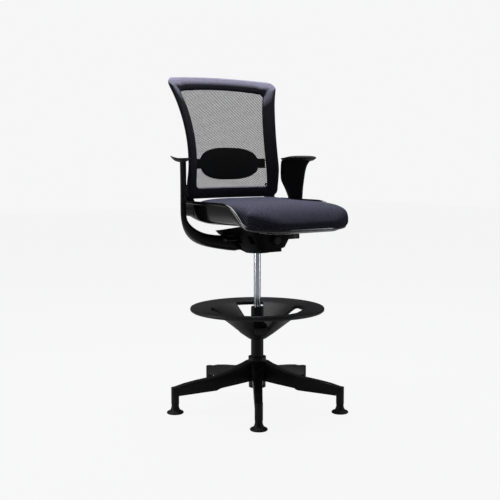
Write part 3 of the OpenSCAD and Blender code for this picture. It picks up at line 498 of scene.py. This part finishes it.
if sum(f.normal.z for f in bm.faces) > 0:
    bmesh.ops.reverse_faces(bm, faces=bm.faces)
bmesh.ops.solidify(bm, geom=bm.faces, thickness=shell_wall)
# Ears behind the rails
for side in (1, -1):
    stations = []
    for y, half_h in ((0.095, 0.026), (0.140, 0.023), (0.160, 0.0205), (0.172, 0.0185), (0.180, 0.0135),
                      (0.1845, 0.0065), (0.1855, 0.002)):
        stations.append((Vector((side * (shell_half - 0.006), y, 0.790 if y > 0.12 else 0.793)) + axis,
                         Vector((0.006, 0, 0)), Vector((0, 0, half_h)), 3.5))
    loft(bm, stations, sides=20)
make_piece("seat_tub", bm, gloss_black, "seat", ("seat_shell",), crease=45)

# Rolled rim that runs down each rail and across the front
bm = bmesh.new()
rim_path = []
rim_inset = 0.005
rail_steps, turn_steps, front_steps = 60, 12, 10
for i in range(rail_steps + 1):
    y = rear_edge - (rear_edge + corner_begin) * i / rail_steps
    rim_path.append(Vector((-shell_half + rim_inset, y, eased(rail_top, y))))
for i in range(1, turn_steps + 1):
    a = math.pi / 2 * i / turn_steps
    x = -shell_half + rim_inset + corner_width * (1 - math.cos(a))
    y = -corner_begin - corner_length * math.sin(a)
    rim_path.append(Vector((x, y, eased(rail_top, y))))
lip_height = eased(rail_top, front_edge)
for i in range(1, front_steps):
    x = (-shell_half + rim_inset + corner_width) * (1 - i / front_steps)
    rim_path.append(Vector((x, front_edge, lip_height)))
mirrored = [Vector((-p.x, p.y, p.z)) for p in reversed(rim_path)]
rim_path = rim_path + [Vector((0, front_edge, lip_height))] + mirrored
stations = []
for i, point in enumerate(rim_path):
    before, after = rim_path[max(0, i - 1)], rim_path[min(len(rim_path) - 1, i + 1)]
    heading = (after - before).normalized()
    sideways = heading.cross(Vector((0, 0, 1))).normalized()
    upright = sideways.cross(heading).normalized()
    stations.append((point + axis, sideways * 0.0068, upright * 0.0072, 2.2))
loft(bm, stations, sides=14)
make_piece("seat_tub_rim", bm, gloss_black, "seat", crease=60)

# ---- Seat pad: moulded foam under a knitted spacer fabric that is stretched over it and
# stapled below. It fills between the rails and falls in a waterfall at the front.


# Knit: staggered cells on the cloth, with soft yarn mottling
knit, knit_in, knit_out = new_group(
    "spacer_knit", [("Pitch", "NodeSocketFloat", 0.0045)],
    [("Cell", "NodeSocketFloat"), ("Mottle", "NodeSocketFloat")])
knit_where = knit.nodes.new("ShaderNodeTexCoord")
knit_split = knit.nodes.new("ShaderNodeSeparateXYZ")
knit.links.new(knit_where.outputs["Object"], knit_split.inputs[0])
down = arithmetic(knit, "ADD", knit_split.outputs["Y"], knit_split.outputs["Z"])
turns = arithmetic(knit, "DIVIDE", 2 * math.pi, knit_in.outputs["Pitch"])
wave_x = arithmetic(knit, "COSINE", arithmetic(knit, "MULTIPLY", knit_split.outputs["X"], turns))
wave_y = arithmetic(knit, "COSINE",
                    arithmetic(knit, "MULTIPLY", arithmetic(knit, "MULTIPLY", down, turns), 0.62))
cells = arithmetic(knit, "MULTIPLY", wave_x, wave_y)
knit.links.new(arithmetic(knit, "MULTIPLY_ADD", cells, 0.5, 0.5), knit_out.inputs["Cell"])
yarn = knit.nodes.new("ShaderNodeTexNoise")
yarn.inputs["Scale"].default_value = 260
yarn.inputs["Detail"].default_value = 3
knit.links.new(knit_where.outputs["Object"], yarn.inputs["Vector"])
knit.links.new(yarn.outputs["Fac"], knit_out.inputs["Mottle"])


def cloth(name, dark, light, pitch, depth, sheen, roughness=0.85, painted_top_highlight=(0, 0, 0),
          highlight_starts_facing=0.3, highlight_full_facing=0.95):
    """Dyed spacer knit. A painted highlight lightens its colour on what faces up, most on the raised yarns.
    """
    material, tree, shader = blank_material(name)
    weave = place_group(tree, knit, Pitch=pitch)
    ramp = tree.nodes.new("ShaderNodeMix")
    ramp.data_type = "RGBA"
    ramp.inputs["A"].default_value = (*dark, 1)
    ramp.inputs["B"].default_value = (*light, 1)
    mottled = arithmetic(tree, "MULTIPLY_ADD", weave.outputs["Mottle"], 1.1, -0.55)
    raised = arithmetic(tree, "ADD", weave.outputs["Cell"], mottled, clamp=True)
    tree.links.new(raised, ramp.inputs["Factor"])
    # Painted highlight: faces that point up are mixed towards a lighter colour, as if lit from overhead.
    facing = tree.nodes.new("ShaderNodeNewGeometry")
    split = tree.nodes.new("ShaderNodeSeparateXYZ")
    tree.links.new(facing.outputs["Normal"], split.inputs[0])
    above = tree.nodes.new("ShaderNodeMapRange")
    above.inputs["From Min"].default_value = highlight_starts_facing
    above.inputs["From Max"].default_value = highlight_full_facing
    tree.links.new(split.outputs["Z"], above.inputs["Value"])
    lit = tree.nodes.new("ShaderNodeMix")
    lit.data_type = "RGBA"
    lit.inputs["B"].default_value = (*painted_top_highlight, 1)
    tree.links.new(ramp.outputs["Result"], lit.inputs["A"])
    tree.links.new(arithmetic(tree, "MULTIPLY", above.outputs["Result"],
                              arithmetic(tree, "MULTIPLY_ADD", raised, 0.8, 0.2)), lit.inputs["Factor"])
    tree.links.new(lit.outputs["Result"], shader.inputs["Base Color"])
    bump = tree.nodes.new("ShaderNodeBump")
    bump.inputs["Distance"].default_value = depth
    tree.links.new(arithmetic(tree, "MULTIPLY_ADD", weave.outputs["Mottle"], 0.3, weave.outputs["Cell"]),
                   bump.inputs["Height"])
    tree.links.new(bump.outputs["Normal"], shader.inputs["Normal"])
    shader.inputs["Roughness"].default_value = roughness
    shader.inputs["Specular IOR Level"].default_value = 0.15
    shader.inputs["Sheen Weight"].default_value = sheen
    shader.inputs["Sheen Roughness"].default_value = 0.45
    shader.inputs["Sheen Tint"].default_value = (0.75, 0.75, 0.95, 1)
    return material


# Its last colour is a painted highlight on the cushion's upward faces.
seat_cloth = cloth("seat_cloth", (0.003, 0.003, 0.006), (0.022, 0.022, 0.038), 0.0075, 0.0032, 0.05,
                   painted_top_highlight=(0.15, 0.15, 0.225))
pad_low, pad_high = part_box("seat_pad")
middle = (pad_low + pad_high) / 2
bm = bmesh.new()
bm.from_mesh(nodes["seat_pad"].data)
bmesh.ops.remove_doubles(bm, verts=bm.verts, dist=2e-5)
seat_cushion = make_piece("seat_cushion", bm, seat_cloth, "seat", ("seat_pad",), crease=180)


def apply_modifiers(piece):
    """Bakes a piece's modifiers into its mesh at the present frame."""
    seen = piece.evaluated_get(bpy.context.evaluated_depsgraph_get())
    mesh = bpy.data.meshes.new_from_object(seen)
    piece.modifiers.clear()
    piece.data = mesh
    for face in mesh.polygons:
        face.use_smooth = True


remesh = seat_cushion.modifiers.new("skin", "REMESH")
remesh.mode = "VOXEL"
remesh.voxel_size = 0.006
apply_modifiers(seat_cushion)
start_shape = [v.co.copy() for v in seat_cushion.data.vertices]
swell = seat_cushion.modifiers.new("swell", "CLOTH")
swell.settings.quality = 5
swell.settings.mass = 0.3
swell.settings.tension_stiffness = 12
swell.settings.compression_stiffness = 12
swell.settings.shear_stiffness = 6
swell.settings.bending_stiffness = 2
swell.settings.use_pressure = True
swell.settings.uniform_pressure_force = 4
swell.settings.effector_weights.gravity = 0
swell.point_cache.frame_start, swell.point_cache.frame_end = 1, 20
for step in range(1, 21):
    scene.frame_set(step)
apply_modifiers(seat_cushion)
scene.frame_set(1)
top_cap = 0.007
side_cap = 0.003
half_low = middle.z - 0.012
blend_height = 0.02
for v, first in zip(seat_cushion.data.vertices, start_shape):
    move = v.co - first
    above = min(1, max(0, (first.z - half_low) / blend_height))
    limit = side_cap + (top_cap - side_cap) * above
    if move.length > limit:
        move *= limit / move.length
    move *= above
    v.co = first + move
bm = bmesh.new()
bm.from_mesh(seat_cushion.data)
smoothings = 44
for _ in range(smoothings):
    bmesh.ops.smooth_vert(bm, verts=bm.verts, factor=0.5, use_axis_x=True, use_axis_y=True, use_axis_z=True)
# The smoothing has drawn the foam in, so it is let out again to the pad's own box
soft_low = Vector([min(v.co[i] for v in bm.verts) for i in range(3)])
soft_high = Vector([max(v.co[i] for v in bm.verts) for i in range(3)])
for v in bm.verts:
    for i in range(3):
        t = (v.co[i] - soft_low[i]) / (soft_high[i] - soft_low[i])
        v.co[i] = pad_low[i] + (pad_high[i] - pad_low[i]) * t


def corner_half(ahead, begin, length, width, half):
    """Half width of a plan whose front corners are quarter ellipses."""
    t = min(1, max(0, (ahead - begin) / length))
    return half - width * (1 - math.sqrt(1 - t * t))


pad_half = pad_high.x
crown_half = 0.227
crown_rise = 0.013
nose_drop = 0.014
for v in bm.verts:
    ahead = axis.y - v.co.y
    # Rounder front corners than the frame's pad
    cut = corner_half(ahead, 0.256, 0.0725, 0.115, pad_half)
    wanted = corner_half(ahead, 0.226, 0.1025, 0.150, pad_half)
    v.co.x *= wanted / cut
    level = min(1, max(0, (v.co.z - pad_low.z) / (pad_high.z - pad_low.z)))
    side = min(1, abs(v.co.x) / crown_half)
    towards_front = min(1, max(0, (0.335 - ahead) / 0.09))
    towards_rear = min(1, max(0, (0.150 + ahead) / 0.06))
    crown = (1 - side ** 4) * towards_front * towards_rear
    v.co.z += crown_rise * level ** 2 * crown
    drop = min(1, max(0, (ahead - 0.170) / 0.150))
    v.co.z -= nose_drop * drop * drop
bm.to_mesh(seat_cushion.data)
bm.free()
for face in seat_cushion.data.polygons:
    face.use_smooth = True
finer = seat_cushion.modifiers.new("finer", "SUBSURF")
finer.levels = finer.render_levels = 1

# ---- Uprights: two black nylon struts that swing on pins in the shell's ears and are screwed
# to the back frame's lower corners.
rounded_copy("back_upright_left", 0.003, arm_black, "back")
rounded_copy("back_upright_right", 0.003, arm_black, "back")
dress(mechanism_paint, "back_screws")

# ---- Back frame: a moulded ring bowed in plan and in profile, with a fabric border
# stretched round it and sewn to the mesh.
waist_z = 0.970
bow_z, bow_y = 0.900, 0.182
waist_half, top_half = 0.221, 0.274
crown_z, bar_z = 1.320, 0.832
opening_top, opening_bottom = 1.270, 0.876
plan_radius = 1.100
border_w = 0.050
frame_t = 0.016
side_roll = 0.014
waist_tall = 0.060
foot_flare = 0.006


def ease(t):
    t = min(1, max(0, t))
    return t * t * (3 - 2 * t)


def back_half(z):
    """Half width of the back: narrow at the waist, wider above it and a little below."""
    if z > waist_z + waist_tall:
        rise = (z - waist_z - waist_tall) / (crown_z - waist_z - waist_tall)
        return waist_half + (top_half - waist_half) * rise ** 2
    return waist_half + foot_flare * ease((waist_z + waist_tall - z) / 0.150)


def back_depth(x, z):
    """Distance of the back's middle surface behind the column. The sides roll forward."""
    bow = 0.6 if z > bow_z else 1.0
    roll = side_roll * ease((z - 0.862) / 0.100) * max(0, (abs(x) - back_half(z) + border_w) / border_w)
    return bow_y + bow * (z - bow_z) ** 2 - x * x / (2 * plan_radius) - roll


def outline(low, high, inset, radius):
    """Points once round a panel with four round corners, from the right of its bottom edge."""
    h, w = (high - low) / 2, waist_half - inset
    flat = []
    for turn, up, across, run in ((-90, -1, 1, 44), (0, 1, 1, 40), (90, 1, -1, 44), (180, -1, -1, 40)):
        for i in range(11):
            a = math.radians(turn + 9 * i)
            flat.append((across * (w - radius) + radius * math.cos(a),
                         up * (h - radius) + radius * math.sin(a)))
        x, z = flat[-1]
        dx, dz = {-90: (0, 2 * (h - radius)), 0: (-2 * (w - radius), 0), 90: (0, -2 * (h - radius)),
                  180: (2 * (w - radius), 0)}[turn]
        flat += [(x + dx * i / run, z + dz * i / run) for i in range(1, run)]
    points = []
    for ex, ez in flat:
        z = (low + high) / 2 + ez
        points.append((ex / w * (back_half(z) - inset), z - 0.013 * (ex / w) ** 2 * ease(ez / h * 2 - 1)))
    return points


# Its last colour is a painted lavender highlight along the border's upward-facing top band.
border_cloth = cloth("border_cloth", (0.002, 0.002, 0.003), (0.022, 0.020, 0.030), 0.0062, 0.0022, 0.04,
                     painted_top_highlight=(0.72, 0.68, 0.9), highlight_starts_facing=0.37, highlight_full_facing=0.47)
outer = outline(bar_z, crown_z, 0, 0.030)
inner = outline(opening_bottom, opening_top, border_w, 0.016)
pairs = [(Vector((xo, back_depth(xo, zo), zo)), Vector((xi, back_depth(xi, zi), zi)))
         for (xo, zo), (xi, zi) in zip(outer, inner)]
bm = bmesh.new()
stations = []
for i, (far, near) in enumerate(pairs):
    before, after = pairs[i - 1], pairs[(i + 1) % len(pairs)]
    heading = (after[0] + after[1]) - (before[0] + before[1])
    across = (far - near) / 2
    face = across.cross(heading).normalized()
    face *= math.copysign(1, face.y)
    stations.append(((far + near) / 2 + axis, across, face * frame_t / 2, 2.7))
loft(bm, stations, sides=20, closed=True)
make_piece("back_border", bm, border_cloth, "back", ("back_frame",), crease=70)

# ---- Back mesh: one layer of knitted mesh stretched over the opening and held in the border.
mesh_margin = 0.010
bm = bmesh.new()
bmesh.ops.create_grid(bm, x_segments=44, y_segments=44, size=1)
for v in bm.verts:
    low, high = opening_bottom - mesh_margin, opening_top + mesh_margin
    z = (low + high) / 2 + v.co.y * (high - low) / 2
    x = v.co.x * (back_half(z) - border_w + mesh_margin)
    k = min(1, max(0, v.co.y * 2 - 1))
    z -= 0.011 * v.co.x ** 2 * k
    v.co = Vector((x, back_depth(x, z) - 0.003, z)) + axis
net, tree, shader = blank_material("open_knit")
net_where = tree.nodes.new("ShaderNodeTexCoord")
net_split = tree.nodes.new("ShaderNodeSeparateXYZ")
tree.links.new(net_where.outputs["Object"], net_split.inputs[0])
net_pitch = 0.0072
across = arithmetic(tree, "MULTIPLY", net_split.outputs["X"], 2 * math.pi / net_pitch)
upward = arithmetic(tree, "MULTIPLY", net_split.outputs["Z"], 2 * math.pi / (net_pitch * 1.25))
net_x = arithmetic(tree, "COSINE", across)
net_z = arithmetic(tree, "COSINE", upward)
holes = arithmetic(tree, "MULTIPLY", net_x, net_z)
yarn_noise = tree.nodes.new("ShaderNodeTexNoise")
yarn_noise.inputs["Scale"].default_value = 300
tree.links.new(net_where.outputs["Object"], yarn_noise.inputs["Vector"])
frayed = arithmetic(tree, "MULTIPLY_ADD", yarn_noise.outputs["Fac"], 0.3, -0.15)
holes = arithmetic(tree, "ADD", holes, frayed)
strand = tree.nodes.new("ShaderNodeMapRange")
strand.inputs["From Min"].default_value = 0.1
strand.inputs["From Max"].default_value = 0.26
strand.inputs["To Min"].default_value = 1.0
strand.inputs["To Max"].default_value = 0.0
tree.links.new(holes, strand.inputs["Value"])
tree.links.new(strand.outputs["Result"], shader.inputs["Alpha"])
net_tint = tree.nodes.new("ShaderNodeMix")
net_tint.data_type = "RGBA"
net_tint.inputs["A"].default_value = (0.006, 0.006, 0.006, 1)
net_tint.inputs["B"].default_value = (0.02, 0.02, 0.021, 1)
tree.links.new(yarn_noise.outputs["Fac"], net_tint.inputs["Factor"])
tree.links.new(net_tint.outputs["Result"], shader.inputs["Base Color"])
net_bump = tree.nodes.new("ShaderNodeBump")
net_bump.inputs["Distance"].default_value = 0.001
tree.links.new(holes, net_bump.inputs["Height"])
tree.links.new(net_bump.outputs["Normal"], shader.inputs["Normal"])
shader.inputs["Roughness"].default_value = 0.7
shader.inputs["Specular IOR Level"].default_value = 0.1
net_sheet = make_piece("back_net", bm, net, "back", ("back_mesh",), crease=180)

# ---- Lumbar pad: a soft black pad behind the mesh on a slide at each end, which rides up
# and down on the frame's side rails.
lumbar_soft = moulded("lumbar_soft", (0.003, 0.003, 0.003), 0.62, 600, 0.0002, level=0.25, dusty=0.0)
lumbar_half, lumbar_tall = 0.145, 0.065
bm = bmesh.new()
bmesh.ops.create_uvsphere(bm, u_segments=56, v_segments=28, radius=1)
for v in bm.verts:
    a, b, c = v.co.x, v.co.z, v.co.y
    rim = math.hypot(a, b)
    if rim > 1e-6:
        length = (abs(a / rim) ** 2.6 + abs(b / rim) ** 2.6) ** (-1 / 2.6)
        a, b = a * length, b * length
    x, z = a * lumbar_half, waist_z + b * lumbar_tall
    c = math.copysign(abs(c) ** 0.6, c)
    v.co = Vector((x, back_depth(x, z) + 0.011 + 0.007 * c, z)) + axis
make_piece("lumbar_cushion", bm, lumbar_soft, "lumbar", ("lumbar_pad",), crease=180)
rounded_copy("lumbar_slides", 0.003, lumbar_soft, "lumbar")
